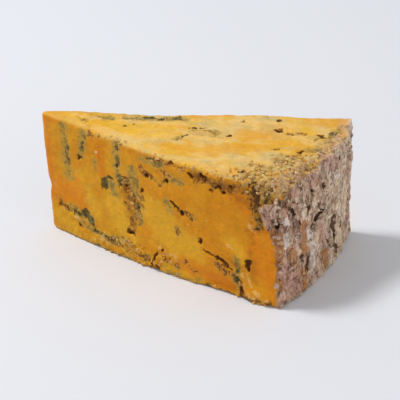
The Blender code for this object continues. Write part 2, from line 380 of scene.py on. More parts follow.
def plainWedge(faces):  # the six faces joined with rounded edges
    worn = wedge["rindEdge"] + wedge["shoulderWear"] * ramp(-faces.base, 20, 36)
    whole = roundedMax(faces.front, faces.rind, worn)
    whole = roundedMax(whole, faces.tip, wedge["cutEdge"])
    whole = roundedMax(whole, faces.back, wedge["rindEdge"] * 0.6)
    broken = ramp(faces.rind, -9, -1) * ramp(34 - faces.alongRind, 0, 18)
    whole = roundedMax(whole, faces.top, wedge["cutEdge"] + wedge["rimWear"] * broken)
    return roundedMax(whole, faces.base, wedge["baseEdge"])


def onMarks(across, up, marks, soft, ragged):  # 1 on the marks, 0 away from them
    mask = np.zeros(len(across))
    for startAcross, startUp, endAcross, endUp, width in marks:
        runAcross = endAcross - startAcross
        runUp = endUp - startUp
        share = ((across - startAcross) * runAcross + (up - startUp) * runUp) / (runAcross**2 + runUp**2)
        share = np.clip(share, 0, 1)
        away = np.hypot(across - startAcross - share * runAcross, up - startUp - share * runUp)
        mask = np.maximum(mask, ramp(width / 2 - away + ragged, -soft, soft))
    return mask


# how each kind of mark is laid on: its soft edge, how ragged it is, how far it sinks and how unbroken it is
markKinds = {
    "olive": (1.9, 0.9, 0.10, 0.78),
    "mould": (1.1, 0.7, 0.40, 0.72),
    "mauve": (1.5, 0.9, 0.20, 0.62),
    "hole": (0.8, 0.6, 1.20, 0.90),
    "crack": (0.6, 0.4, 0.90, 0.65),
    "cream": (1.2, 0.9, -0.15, 0.50),
    "gold": (4.5, 1.5, 0, 1),
    "orange": (4.5, 1.5, 0, 1),
    "dark": (1.6, 1.2, 0.80, 0.72),
    "paintedShadow": (4.5, 1.5, 0, 1),
    "white": (1.3, 1.2, -0.15, 0.55),
    "pit": (0.8, 0.9, 1.40, 0.90),
}
markReach = (-3.4, -2.2)  # how far below its face a mark fades out

# how far each feature stands out or sinks, and how large it is
pasteRelief = {
    "waves": 0.22, "waveSize": 13,
    "lumps": 0.10, "lumpSize": 3.6,
    "grain": 0.05, "grainSize": 1.3,
    "bits": 0.30, "bitSize": 2.1, "bitSeams": 0.22,
    "comingAway": 0.75,
    "sand": 0.5, "sandSize": 1.9, "sandDomes": 0.40, "sandGaps": 0.5, "sandGapWidth": 0.35,
    "footBulge": 1, "footHollow": 1.2, "tipDent": 0.5,
}
rindRelief = {
    "folds": 1.25, "foldSize": 6,
    "waves": 0.30, "waveSize": 15,
    "grain": 0.22,
    "flakes": 0.50, "flakeSize": 3, "gaps": 0.40, "gapWidth": 0.3,
}


def placedMarks(faces, points, wobble, ragged, rindShare):  # every listed mark, by kind
    found = {kind: np.zeros(len(points)) for kind in markKinds}
    up = points[:, 2] + wobble[:, 1]
    places = (
        (frontMarks, faces.front, faces.alongFront + wobble[:, 0], up, 1 - rindShare),
        (backMarks, faces.back, faces.alongBack + wobble[:, 0], up, 1 - rindShare),
        (topMarks, faces.top, points[:, 0] + wobble[:, 0], points[:, 1] + wobble[:, 1], 1 - rindShare),
        (rindMarks, faces.rind, faces.alongRind + wobble[:, 0], up, rindShare),
    )
    for marks, out, across, rise, share in places:
        near = out > markReach[0]
        depth = ramp(out[near], *markReach) * share[near]
        for kind, strokes in marks.items():
            soft, tear, _, _ = markKinds[kind]
            mask = onMarks(across[near], rise[near], strokes, soft, tear * ragged[near]) * depth
            found[kind][near] = np.maximum(found[kind][near], mask)
    return found


def sharesOf(points, faces, bend, twist, ragged):  # how far each point is rind, top and front cut
    along = faces.alongRind
    wrap = wedge["rindWrap"] * ramp(points[:, 2], 22, 33) + 0.9 * bend[:, 1]
    lap = wedge["rimLap"] * ramp(30 - along, 0, 16) + 1.4 * bend[:, 2] + 0.7 * twist[:, 1]
    lap += wedge["cornerLap"] * ramp(12 - along, 0, 9)
    others = [faces.front - wrap, faces.back, faces.tip, faces.top + lap, faces.base]
    rindShare = ramp(faces.rind - np.maximum.reduce(others) + 1.3 * ragged, -1, 0.3)
    walls = [faces.front, faces.back, faces.tip, faces.rind - np.maximum(lap, 0)]
    topShare = ramp(faces.top - np.maximum.reduce(walls), -0.9, 0.3) * (1 - rindShare)
    beside = np.maximum(faces.top, faces.back)
    return rindShare, topShare, ramp(faces.front - beside, -1, 1) * (1 - rindShare)


def addVeins(marks, points, bend, ragged, shares):  # mould spread through the paste wherever it opened up
    _, gap, _ = curds(points + bend * 1.5, 8, 5)
    opened = ramp(lumps(points, 18, 61) + 0.45 * bend[:, 1], 0.02, 0.6)
    for share in shares:
        opened *= share
    marks["mould"] = np.maximum(marks["mould"], opened * ramp(0.9 + 0.9 * ragged - gap * 0.6, -1, 0.9))
    marks["olive"] = np.maximum(marks["olive"], opened * ramp(2.8 + 1.2 * ragged - gap, -1.6, 2) * 0.8)


def crumbZoneOf(points, faces, bend, rindShare, topShare):  # where the top has crumbled, near the rind
    across = points[:, 1]
    corner = topShare * ramp(points[:, 0] - 0.9 * across + 4 * bend[:, 2], 78, 92)
    corner *= ramp(4 - across, 0, 6)
    rim = topShare * ramp(faces.rind + 1.6 * bend[:, 2], -6, -2) * ramp(22 - across, 0, 9)
    near = faces.top + faces.rind + faces.front + bend[:, 0]
    shoulder = ramp(near, -14, -8) * (1 - rindShare)
    return np.maximum.reduce([corner, 0.75 * rim, 0.85 * shoulder])


def crustOf(points, faces, bend, grain, rindShare):  # the rind's upright folds and flakes, between hollows
    sizes = rindRelief
    sheet = [faces.alongRind + 0.22 * points[:, 2], faces.rind, points[:, 2] * 0.45]
    sheet = np.stack(sheet, axis=1) + bend * 0.6
    crusty = rindShare > 0.01
    _, gap, flake = curds(sheet[crusty] * np.array([1, 1, 1.4]), sizes["flakeSize"], 85)
    crust = sizes["folds"] * ridged(sheet, sizes["foldSize"], 90, 3)
    crust = crust + sizes["waves"] * lumps(points, sizes["waveSize"], 97) + sizes["grain"] * grain
    gaps = sizes["gaps"] * np.exp(-((gap / sizes["gapWidth"]) ** 2))
    crust[crusty] += sizes["flakes"] * (flake - 0.5) - gaps
    return crust


def sculpted(points, faces, plain):  # the finished surface, and the marks that the finishes read
    height, alongFront, sizes = points[:, 2], faces.alongFront, pasteRelief
    bend = np.stack([layered(points, 5, 40 + axis, 2) for axis in range(3)], axis=1)
    twist = np.stack([layered(points, 2.2, 50 + axis, 2) for axis in range(2)], axis=1)
    grain = lumps(points, sizes["grainSize"], 65)
    ragged = 0.45 * lumps(points, 2.6, 63) + 0.45 * grain
    rindShare, topShare, frontShare = sharesOf(points, faces, bend, twist, ragged)
    marks = placedMarks(faces, points, bend[:, (0, 2)] * 0.7 + twist * 0.9, ragged, rindShare)
    backRim = ramp(faces.top - faces.back, -3, 0) * ramp(faces.back - faces.top, -3, 0)
    fewer = (1 - rindShare, 1 - 0.8 * frontShare, 1 - 0.8 * topShare, 1 - 0.8 * backRim)
    addVeins(marks, points, bend, ragged, fewer)
    blobs = ramp(layered(points, 3.2, 87, 3), -0.55, 0.45)
    for kind, (_, _, _, solid) in markKinds.items():
        marks[kind] *= solid + (1 - solid) * blobs

    # where the paste is loose: low on the front, by the tip, along the upper edges and the foot, at openings
    lowFront = ramp(10 - height, 0, 4) * ramp(faces.front, -3, -1)
    lowFront *= window(alongFront, 14, 12, 58, 8)
    tipSide = ramp(24 - points[:, 0], 0, 14) * ramp(20 - height, 0, 8) * (1 - topShare)
    crest = ramp(faces.front, -1.6, -0.4) * ramp(faces.top, -1.6, -0.4) * ramp(points[:, 0], 30, 50)
    crest += ramp(faces.rind, -3, -0.6) * ramp(faces.top, -2, -0.6) * 0.8
    foot = ramp(2.4 - height, 0, 1.6)
    loose = 0.8 * lowFront + 0.4 * tipSide + 0.6 * crest + 0.6 * foot
    loose += 0.7 * np.maximum.reduce([marks["mould"], marks["olive"], marks["mauve"]])
    patchy = ramp(lumps(points, 13, 80), 0.15, 0.7)
    loose += 0.5 * patchy * (1 - 0.9 * topShare) * (1 - 0.5 * frontShare)
    crumble = np.clip(loose, 0, 1) * (1 - rindShare)
    coming = np.clip(lowFront + 0.7 * foot * (1 - rindShare) + 0.5 * crest, 0, 1)
    crumbZone = crumbZoneOf(points, faces, bend, rindShare, topShare)

    _, bitGap, bit = curds(points + bend * 0.4, sizes["bitSize"], 81)
    seam = ramp(0.42 - bitGap, -0.25, 0.3)
    paste = sizes["waves"] * lumps(points, sizes["waveSize"], 70)
    paste = paste + sizes["lumps"] * layered(points, sizes["lumpSize"], 71, 2) + sizes["grain"] * grain
    broken = bit * sizes["bits"] - 0.10 + sizes["bitSeams"] * seam - 0.14 * grain
    paste -= crumble * broken * (1 - 0.6 * backRim)
    paste -= sizes["comingAway"] * coming * (bit - 0.45) * ramp(lumps(points, 6, 78), -0.5, 0.3)
    sandy = crumbZone > 0.01
    away, gap, seed = curds(points[sandy] + bend[sandy] * 0.3, sizes["sandSize"], 83)
    gaps = sizes["sandGaps"] * np.exp(-((gap / sizes["sandGapWidth"]) ** 2))
    paste[sandy] += crumbZone[sandy] * (sizes["sand"] * seed - sizes["sandDomes"] * away - gaps)

    crust = crustOf(points, faces, bend, grain, rindShare)
    relief = paste * (1 - rindShare) + crust * rindShare
    for kind, (_, _, depth, _) in markKinds.items():
        if depth != 0:
            relief -= depth * ramp(marks[kind] * 1.5 - 0.25 * (1 + ragged), 0.35, 1)
    low = ramp(7 - height, 0, 5) * ramp(faces.front, -4, -1)
    relief += sizes["footBulge"] * low * window(alongFront, 76, 5, 90, 4)
    relief -= sizes["footHollow"] * low * window(alongFront, 58, 6, 77, 3)
    dent = np.exp(-(((height - 17 - bend[:, 0]) / 2.8) ** 2)) * ramp(3 - points[:, 0], 0, 3)
    relief -= sizes["tipDent"] * dent
    relief *= 1 - 0.8 * ramp(faces.base - np.maximum(faces.front, faces.rind), -1.6, 0)

    marks["rind"] = rindShare
    marks["top"] = topShare
    marks["crumb"] = crumbZone
    marks["underRind"] = ramp(faces.rind, -9, 0) * (1 - rindShare)
    marks["frontRun"] = frontShare * ramp(alongFront, 28, 78)
    marks["loose"] = crumble
    # a painted shade gradient across the rind: 0 by its front corner, where the rind is painted darker, 1
    # further along, where it is painted lighter
    marks["litAlongRind"] = ramp(faces.alongRind, 4, 34)
    marks["crumbly"] = np.clip(crumbZone + 0.5 * coming + 0.5 * crest + 0.25 * marks["mould"], 0, 1)
    marks["crumbly"] *= (1 - rindShare) * (1 - ramp(faces.back + faces.top, -6, -2))
    marks["flaky"] = rindShare * (1 - 0.7 * marks["pit"]) * ramp(-faces.top, 0.6, 3)
    marks["flaky"] *= ramp(-faces.back, 0.8, 3.4) * ramp(height, 0.5, 2)
    return np.maximum(plain - relief, faces.base), marks


def field():  # signed distances to the finished surface on a grid
    low, high = np.array(wedge["gridLow"]), np.array(wedge["gridHigh"])
    counts = np.ceil((high - low) / wedge["grain"]).astype(int) + 1
    axes = [low[axis] + wedge["grain"] * np.arange(counts[axis]) for axis in range(3)]
    points = np.stack(np.meshgrid(*axes, indexing="ij"), axis=-1).reshape(-1, 3)
    plain = plainWedge(plainFaces(points))
    near = (plain > -wedge["holeReach"]) & (plain < wedge["crustReach"])
    values = np.where(plain > 0, wedge["crustReach"], -wedge["holeReach"])
    nearby = points[near]
    values[near], _ = sculpted(nearby, plainFaces(nearby), plain[near])
    return low, values.reshape(counts)


def unpinched(values):  # fills in wherever the skin would meet itself along an edge
    values[np.abs(values) < wedge["least"]] = wedge["least"]
    for _ in range(wedge["mends"]):
        found = 0
        for sides in ((0, 1), (0, 2), (1, 2)):
            corners = []
            for stepA, stepB in ((0, 0), (1, 0), (1, 1), (0, 1)):
                window = [slice(None)] * 3
                for side, step in zip(sides, (stepA, stepB)):
                    window[side] = slice(step, values.shape[side] - 1 + step)
                corners.append(values[tuple(window)])
            outside = [corner >= 0 for corner in corners]
            crossed = (outside[0] == outside[2]) & (outside[1] == outside[3]) & (outside[0] != outside[1])
            found += crossed.sum()
            for corner in corners:
                corner[crossed & (corner >= 0)] = -wedge["least"]
        if found == 0:
            break
    return values


def skinOf(low, values):  # a mesh of quads where the values cross zero, one point in each crossed cell
    values = unpinched(values)
    inside = values < 0
    cells = np.array(values.shape) - 1
    total = np.zeros(cells, dtype=np.int8)
    for corner in np.ndindex(2, 2, 2):
        window = tuple(slice(c, c + n) for c, n in zip(corner, cells))
        total += inside[window]
    crossed = (total > 0) & (total < 8)
    number = np.full(cells, -1, dtype=np.int64)
    number[crossed] = np.arange(crossed.sum())
    sums = np.zeros((crossed.sum(), 3))
    hits = np.zeros(crossed.sum())
    quads = []
    for axis in range(3):
        others = [other for other in range(3) if other != axis]
        first = [slice(1, n) for n in cells]
        first[axis] = slice(0, cells[axis])
        second = list(first)
        second[axis] = slice(1, cells[axis] + 1)
        startIn, endIn = inside[tuple(first)], inside[tuple(second)]
        where = np.argwhere(startIn != endIn)
        base = where + 1
        base[:, axis] -= 1
        startValue = values[tuple(base.T)]
        ahead = base.copy()
        ahead[:, axis] += 1
        endValue = values[tuple(ahead.T)]
        spot = base.astype(float)
        spot[:, axis] += startValue / (startValue - endValue)
        around = []
        for stepA, stepB in ((0, 0), (-1, 0), (-1, -1), (0, -1)):
            cell = base.copy()
            cell[:, others[0]] += stepA
            cell[:, others[1]] += stepB
            owner = number[tuple(cell.T)]
            around.append(owner)
            hits += np.bincount(owner, minlength=len(hits))
            for part in range(3):
                sums[:, part] += np.bincount(owner, weights=spot[:, part], minlength=len(hits))
        quad = np.stack(around, axis=1)
        leaving = startIn[tuple(where.T)]
        flip = leaving if axis != 1 else ~leaving
        quad[~flip] = quad[~flip][:, ::-1]
        quads.append(quad)
    return low + sums / hits[:, None] * wedge["grain"], np.concatenate(quads)


def largestPiece(points, quads):  # drops crumbs that hang loose in a hole
    label = np.arange(len(points))
    while True:
        lowest = label[quads].min(axis=1)
        fresh = label.copy()
        for column in range(4):
            np.minimum.at(fresh, quads[:, column], lowest)
        fresh = fresh[fresh]
        if (fresh == label).all():
            break
        label = fresh
    names, sizes = np.unique(label, return_counts=True)
    keep = label == names[sizes.argmax()]
    renumber = np.cumsum(keep) - 1
    return points[keep], renumber[quads[keep[quads[:, 0]]]]


def meshOf(name, points, quads):
    mesh = bpy.data.meshes.new(name)
    mesh.vertices.add(len(points))
    mesh.vertices.foreach_set("co", points.astype(np.float32).ravel())
    mesh.loops.add(len(quads) * 4)
    mesh.loops.foreach_set("vertex_index", quads.astype(np.int32).ravel())
    mesh.polygons.add(len(quads))
    mesh.polygons.foreach_set("loop_start", np.arange(0, len(quads) * 4, 4, dtype=np.int32))
    mesh.update(calc_edges=True)
    mesh.validate()
    mesh.shade_smooth()
    piece = bpy.data.objects.new(name, mesh)
    bpy.context.scene.collection.objects.link(piece)
    return piece


def addMarks(piece, marks):  # each mark becomes a number on every point
    for kind, values in marks.items():
        layer = piece.data.attributes.new(kind, "FLOAT", "POINT")
        layer.data.foreach_set("value", np.clip(values, 0.0, 1.0).astype(np.float32))


def hollowsOf(points, quads, rounds):  # how far each point lies below the surface smoothed around it
    ends = np.concatenate([quads, np.roll(quads, 1, axis=1)])
    starts = np.roll(ends, 1, axis=1).ravel()
    ends = ends.ravel()
    counts = np.bincount(starts, minlength=len(points))[:, None]
    smooth = points.copy()
    for _ in range(rounds):
        sums = [np.bincount(starts, weights=smooth[ends, axis], minlength=len(points)) for axis in range(3)]
        smooth = 0.4 * smooth + 0.6 * np.stack(sums, axis=1) / counts
    faceWays = np.cross(smooth[quads[:, 2]] - smooth[quads[:, 0]], smooth[quads[:, 3]] - smooth[quads[:, 1]])
    ways = np.zeros_like(points)
    for column in range(4):
        for axis in range(3):
            ways[:, axis] += np.bincount(quads[:, column], weights=faceWays[:, axis], minlength=len(points))
    ways /= np.linalg.norm(ways, axis=1)[:, None]
    return ((smooth - points) * ways).sum(axis=1)


hollowing = {
    "rounds": 14,  # of smoothing, before the skin is compared with itself
    "flat": 0.02,
    "cavityShadow": 0.45,  # millimetres down where the painted shade in a hollow is at its darkest
    # millimetres up where the painted highlight on a crest is at its fullest
    "crest": 0.40,
}
low, values = field()
print("wedge field ready")
points, quads = skinOf(low, values)
points, quads = largestPiece(points, quads)
faces = plainFaces(points)
_, pointMarks = sculpted(points, faces, plainWedge(faces))
sunk = hollowsOf(points, quads, hollowing["rounds"])
# painted shade for hollows and painted highlight for crests, from how far each point lies below or above the
# skin smoothed around it
pointMarks["cavityShadow"] = ramp(sunk, hollowing["flat"], hollowing["cavityShadow"])
pointMarks["crest"] = ramp(-sunk, hollowing["flat"], hollowing["crest"])
middle = np.array((cadBox[0] + cadBox[1]) / 2.0) * 1000.0
spread = (points.min(axis=0) + points.max(axis=0)) / 2.0
shift = np.array([middle[0] - spread[0], middle[1] - spread[1], 0.0])
wedgeBody = meshOf("wedgeBody", (points + shift) / 1000.0, quads)
addMarks(wedgeBody, pointMarks)
print("wedge skin has", len(quads), "quads")


def feed(tree, socket, source):  # a link where the source is a socket, a plain value otherwise
    if isinstance(source, bpy.types.NodeSocket):
        tree.links.new(source, socket)
    else:
        socket.default_value = source


def made(tree, kind, inputs, **settings):  # a node with its settings and inputs
    node = tree.nodes.new(kind)
    for label, value in settings.items():
        setattr(node, label, value)
    for label, source in inputs.items():
        feed(tree, node.inputs[label], source)
    return node


def mixed(tree, share, first, second):  # colour between first and second
    return made(tree, "ShaderNodeMix", {0: share, 6: first, 7: second}, data_type="RGBA").outputs[2]


def worked(tree, operation, first, second=0.0, third=0.0):  # a Math node
    return made(tree, "ShaderNodeMath", {0: first, 1: second, 2: third}, operation=operation).outputs[0]


def vectored(tree, operation, first, second):  # a Vector Math node
    other = "Scale" if operation == "SCALE" else 1
    return made(tree, "ShaderNodeVectorMath", {0: first, other: second}, operation=operation).outputs[0]


def spanned(tree, value, low, high, start=0.0, end=1.0):  # start below low, end above high, smooth between
    inputs = {"Value": value, "From Min": low, "From Max": high, "To Min": start, "To Max": end}
    return made(tree, "ShaderNodeMapRange", inputs, interpolation_type="SMOOTHSTEP").outputs["Result"]


def newGroup(name, inputs, outputs):  # inputs start from a number or a colour, and a place from nothing
    tree = bpy.data.node_groups.new(name, "ShaderNodeTree")
    for label, start in inputs.items():
        kind = "Vector" if start is None else "Float" if isinstance(start, float) else "Color"
        socket = tree.interface.new_socket(label, in_out="INPUT", socket_type="NodeSocket" + kind)
        if start is not None:
            socket.default_value = start
    for label in outputs:
        kind = "Color" if label == "Color" else "Float"
        tree.interface.new_socket(label, in_out="OUTPUT", socket_type="NodeSocket" + kind)
    return tree, tree.nodes.new("NodeGroupInput").outputs, tree.nodes.new("NodeGroupOutput").inputs


def placed(tree, group, values):  # a group put into a tree with its own values
    return made(tree, "ShaderNodeGroup", values, node_tree=group).outputs


def sizedPlace(tree, given):  # the place in units of Size, shifted by Seed
    scaled = vectored(tree, "SCALE", given["Place"], worked(tree, "DIVIDE", 1.0, given["Size"]))
    return vectored(tree, "ADD", scaled, given["Seed"])


cloudNoise = {"Scale": 1.0, "Roughness": 0.68, "Distortion": 0.5}
grainSharpness = 8.0


def cloudGroup():  # soft-edged patches of a given size in metres
    inputs = {"Place": None, "Size": 0.01, "Seed": 0.0, "Low": 0.4, "High": 0.6, "Detail": 3.0}
    tree, given, out = newGroup("softPatches", inputs, ("Mask",))
    inputs = {"Detail": given["Detail"], "Vector": sizedPlace(tree, given)}
    noise = made(tree, "ShaderNodeTexNoise", cloudNoise | inputs)
    feed(tree, out["Mask"], spanned(tree, noise.outputs["Fac"], given["Low"], given["High"]))
    return tree


def gritGroup():  # small grains: a mask on their middles, a number for each, and the way to its edge
    inputs = {"Place": None, "Size": 0.001, "Reach": 0.3, "Seed": 0.0}
    tree, given, out = newGroup("fineGrit", inputs, ("Mask", "Number", "Edge"))
    cells = made(tree, "ShaderNodeTexVoronoi", {"Scale": 1.0, "Vector": sizedPlace(tree, given)})
    near = worked(tree, "SUBTRACT", given["Reach"], cells.outputs["Distance"])
    soft = made(tree, "ShaderNodeMath", {0: near, 1: grainSharpness}, operation="MULTIPLY", use_clamp=True)
    feed(tree, out["Mask"], soft.outputs[0])
    feed(tree, out["Number"], made(tree, "ShaderNodeSeparateColor", {0: cells.outputs["Color"]}).outputs[0])
    feed(tree, out["Edge"], cells.outputs["Distance"])
    return tree


clouds = cloudGroup()
grit = gritGroup()


class Look:  # a shader group whose colour is laid on in coats; a name stands for one of its inputs or noises
    def __init__(self, name, colours, marks, noises):
        inputs = {"Place": None} | {label: colour + (1.0,) for label, colour in colours.items()}
        inputs |= {label: 0.0 for label in marks}
        self.tree, given, self.out = newGroup(name, inputs, ("Color", "Roughness", "Height"))
        self.known = {label: given[label] for label in inputs}
        self.known |= {label: self.patches(*values) for label, values in noises.items()}
        self.colour = None

    def at(self, source):
        return self.known[source] if isinstance(source, str) else source

    def patches(self, size, seed, low=0.4, high=0.6, detail=3.0, stretch=None):
        place = self.known["Place"]
        if stretch:
            place = vectored(self.tree, "MULTIPLY", place, stretch)
        values = {"Place": place, "Size": size, "Seed": seed, "Low": low, "High": high, "Detail": detail}
        return placed(self.tree, clouds, values)["Mask"]

    def grains(self, size, seed, reach=0.3):
        values = {"Place": self.known["Place"], "Size": size, "Seed": seed, "Reach": reach}
        return placed(self.tree, grit, values)

    def work(self, operation, *sources):
        return worked(self.tree, operation, *(self.at(source) for source in sources))

    def times(self, first, second):
        return self.work("MULTIPLY", first, second)

    def line(self, source, slope, start):  # start, and slope times the source more
        return self.work("MULTIPLY_ADD", source, slope, start)

    def above(self, source, low):
        return self.work("GREATER_THAN", source, low)

    def torn(self, mask, noise, tear, soft=0.12):  # a mask whose soft edge breaks up into specks
        pushed = self.line(noise, -tear, self.times(mask, 1.0 + tear))
        return spanned(self.tree, pushed, 0.5 - soft, 0.5 + soft)

    def creased(self, noise, width):  # thin lines where noise crosses its middle
        away = self.work("ABSOLUTE", self.work("SUBTRACT", noise, 0.5))
        return spanned(self.tree, away, width * 0.5, width, 1.0, 0.0)

    def mix(self, share, first, second):
        return mixed(self.tree, self.at(share), self.at(first), self.at(second))

    def over(self, colour, tint, mask, amount=1.0):  # a colour changed towards a tint where the mask is
        return self.mix(self.times(mask, amount), colour, tint)

    def shaded(self, colour, noise, low, high):  # a colour made darker and lighter by noise
        return vectored(self.tree, "SCALE", self.at(colour), self.line(noise, high - low, low))

    def coat(self, tint, mask, amount=1.0):
        self.colour = self.over(self.colour, tint, mask, amount)

    def give(self, label, source):
        feed(self.tree, self.out[label], source)


# colours are linear red, green, blue
pasteColours = {
    "Ochre": (0.78, 0.36, 0.013),
    "Deep": (0.76, 0.28, 0.006),
    "Bright": (0.88, 0.43, 0.020),
    "Vivid": (0.85, 0.24, 0.005),
    "Gold": (0.90, 0.50, 0.030),
    "Top Yellow": (0.86, 0.48, 0.050),
    "Top Cream": (0.86, 0.58, 0.20),
    "Top Beige": (0.68, 0.50, 0.20),
    "Top Orange": (0.86, 0.39, 0.022),
    "Khaki": (0.50, 0.335, 0.070),
    "Olive": (0.30, 0.175, 0.028),
    "Mauve": (0.34, 0.165, 0.050),
    "Peach": (0.72, 0.40, 0.12),
    "Cream": (0.92, 0.58, 0.18),
    "Dark Paste And Shade": (0.50, 0.175, 0.008),
    "Painted Shadow": (0.32, 0.110, 0.006),
    "Rosy": (0.60, 0.38, 0.27),
    "Shadow In Hollows": (0.19, 0.062, 0.007),
    "Brown": (0.075, 0.030, 0.010),
    "Mould": (0.080, 0.062, 0.020),
    "Blue Mould": (0.20, 0.170, 0.065),
}
pasteLookMarks = (
    "top", "mould", "olive", "mauve", "hole", "crack", "cream", "gold", "orange", "dark", "paintedShadow", "crumb",
    "underRind", "frontRun", "loose", "cavityShadow", "crest",
)
dragged = (0.55, 1.0, 1.0)  # the knife drew the top's patches out along the wedge
pasteNoise = {  # size in metres, seed, low, high, detail, stretch
    "finest": (0.0004, 5.0, 0.2, 0.8),
    "grainy": (0.0009, 6.0, 0.3, 0.7, 4.0),
    "fine": (0.0013, 3.0, 0.25, 0.75, 6.0),
    "medium": (0.0030, 17.0, 0.25, 0.75, 7.0),
    "coarse": (0.0055, 21.0, 0.2, 0.8, 4.0),
    "creasing": (0.0026, 18.0, 0.2, 0.8, 4.0),
    "deepPatches": (0.017, 1.0, 0.40, 0.64),
    "brightPatches": (0.007, 7.0, 0.46, 0.72),
    "uprightStreaks": (0.0035, 9.0, 0.46, 0.76, 3.0, (1.0, 1.0, 0.16)),
    "creamPatches": (0.010, 11.0, 0.40, 0.62, 3.0, dragged),
    "orangePatches": (0.013, 13.0, 0.48, 0.66, 3.0, dragged),
    "beigePatches": (0.006, 15.0, 0.50, 0.64, 3.0, dragged),
    "mouldPatches": (0.0020, 19.0, 0.40, 0.62),
    "crumbOlive": (0.0024, 20.0, 0.50, 0.62, 5.0),
    "rosyPatches": (0.0034, 33.0, 0.40, 0.56, 4.0),
}


def pasteGroup():
    look = Look("pasteLook", pasteColours, pasteLookMarks, pasteNoise)
    mix, over, shaded, coat, torn = look.mix, look.over, look.shaded, look.coat, look.torn
    times, line, above = look.times, look.line, look.above

    # sound paste, on the cuts and on the top
    look.colour = mix("deepPatches", "Ochre", "Deep")
    coat("Bright", "brightPatches", 0.6)
    coat("Deep", "uprightStreaks", 0.3)
    coat("Deep", "frontRun", 0.7)
    top = mix("creamPatches", "Top Yellow", "Top Cream")
    top = over(top, "Top Orange", "orangePatches", 0.8)
    top = over(top, "Top Beige", "beigePatches", 0.75)
    look.colour = mix("top", look.colour, top)
    coat("Gold", torn("gold", "coarse", 0.7, 0.6), 0.6)
    coat(mix("top", "Vivid", "Top Orange"), torn("orange", "coarse", 0.7, 0.6), 0.65)
    coat("Vivid", look.work("POWER", "underRind", 3.0), 0.45)
    # painted highlight on the crests of the skin, kept off the orange marks
    coat("Top Yellow", times(times("crest", line("orange", -0.8, 1.0)), "medium"), 0.6)
    chunks = look.grains(0.0030, 22.0)["Number"]
    chunky = times("loose", 0.62)
    coat("Gold", torn(times(above(chunks, 0.62), chunky), "fine", 0.9, 0.4), 0.5)
    # darker grains among the loose paste, the paste's own tone picked at random
    coat("Dark Paste And Shade", torn(times(look.work("LESS_THAN", chunks, 0.28), chunky), "fine", 0.9, 0.4), 0.3)
    # painted shade in the hollows of the skin
    coat("Dark Paste And Shade", "cavityShadow", 0.6)
    look.colour = shaded(shaded(look.colour, "coarse", 0.90, 1.08), "fine", 0.90, 1.08)

    # mould that tints the paste, breaks up into specks and sits in the openings
    grains = look.grains(0.0012, 8.0)["Number"]
    moulds = shaded(mix("mouldPatches", "Mould", "Blue Mould"), "grainy", 0.55, 1.55)
    olives = shaded(mix(above(grains, 0.55), "Olive", "Blue Mould"), "grainy", 0.7, 1.3)
    coat("Khaki", torn("olive", "coarse", 0.5, 0.5), 0.75)
    coat(olives, torn(times("olive", 0.66), "fine", 1.3), 0.7)
    netted = times("mauve", line("top", -0.2, 0.9))
    coat("Peach", torn(netted, "medium", 0.7, 0.5), 0.5)
    browns = shaded(mix(above(grains, 0.6), "Mauve", "Olive"), "grainy", 0.6, 1.4)
    coat(browns, torn(times(netted, 0.62), "fine", 1.3), 0.7)
    creases = times(look.creased("creasing", 0.13), torn(netted, "medium", 0.8, 0.3))
    # painted shade in the fine cracks of the network
    coat("Shadow In Hollows", creases, 0.85)
    coat("Cream", torn("cream", "grainy", 1.0, 0.4), 0.65)

    # the crumbled zone with painted shade between its crumbs, the rosy rim beside it, painted shade under the
    # top rim and the dark corner
    crumbs = mix(above(grains, 0.42), "Top Beige", "Top Cream")
    crumbs = mix(above(grains, 0.70), crumbs, "Khaki")
    crumbs = mix(above(grains, 0.92), crumbs, "Brown")
    # painted shade in the gaps between the crumbs, then olive patches
    crumbs = over(over(crumbs, "Brown", "cavityShadow", 0.85), "Olive", "crumbOlive", 0.6)
    coat(crumbs, torn("crumb", "medium", 0.6, 0.3), 0.85)
    coat("Rosy", times(times(times("underRind", "underRind"), "top"), "rosyPatches"), 0.85)
    # painted shade, soft, under the top rim and by the rind's front corner
    coat("Painted Shadow", torn("paintedShadow", "coarse", 0.8, 0.6), 0.6)
    coat("Mauve", torn("dark", "coarse", 0.5, 0.6), 0.6)
    darks = shaded(mix(above(grains, 0.6), "Brown", "Olive"), "grainy", 0.5, 1.8)
    coat(darks, torn("dark", "fine", 1.3, 0.3), 0.85)

    # pores with painted shade in them, pale flecks and specks all over, then holes with painted shade in and
    # around them, and the mould in them
    pores, flecks, specks = (
        times(dots["Mask"], above(dots["Number"], rarity))
        for dots, rarity in (
            (look.grains(0.0019, 14.0, 0.16), 0.6),
            (look.grains(0.0023, 16.0, 0.20), 0.7),
            (look.grains(0.0075, 12.0, 0.11), 0.45),
        )
    )
    # painted shade in the pores, which also dip in the bump
    coat("Dark Paste And Shade", pores, 0.55)
    coat("Cream", flecks, 0.35)
    specks = torn(times(specks, 0.8), "fine", 1.0)
    coat("Olive", specks, 0.75)
    hollow = look.work("MAXIMUM", "hole", "crack")
    # painted shade round the rims of holes and cracks
    coat("Dark Paste And Shade", torn(hollow, "medium", 0.4, 0.5), 0.7)
    hollows = torn(hollow, "fine", 0.6)
    # painted shade inside holes and cracks
    coat(shaded("Shadow In Hollows", "grainy", 0.6, 1.5), hollows, 0.9)
    # darker painted shade where the holes sink furthest
    coat("Brown", times(hollows, "cavityShadow"), 0.8)
    mouldy = torn("mould", "fine", 1.2)
    coat(moulds, mouldy, 0.92)
    look.give("Color", look.colour)

    rough = line(mouldy, 0.3, line("fine", 0.16, 0.40))
    look.give("Roughness", line("loose", 0.25, rough))
    height = line("medium", 0.12, line("finest", 0.08, times("fine", 0.16)))
    sandy = times(look.grains(0.0009, 4.0)["Edge"], line("loose", 0.30, 0.02))
    sunk = creases
    for dip in (mouldy, hollows, specks, pores):
        sunk = look.work("MAXIMUM", sunk, dip)
    look.give("Height", line(sunk, -0.35, look.work("ADD", height, sandy)))
    return look.tree


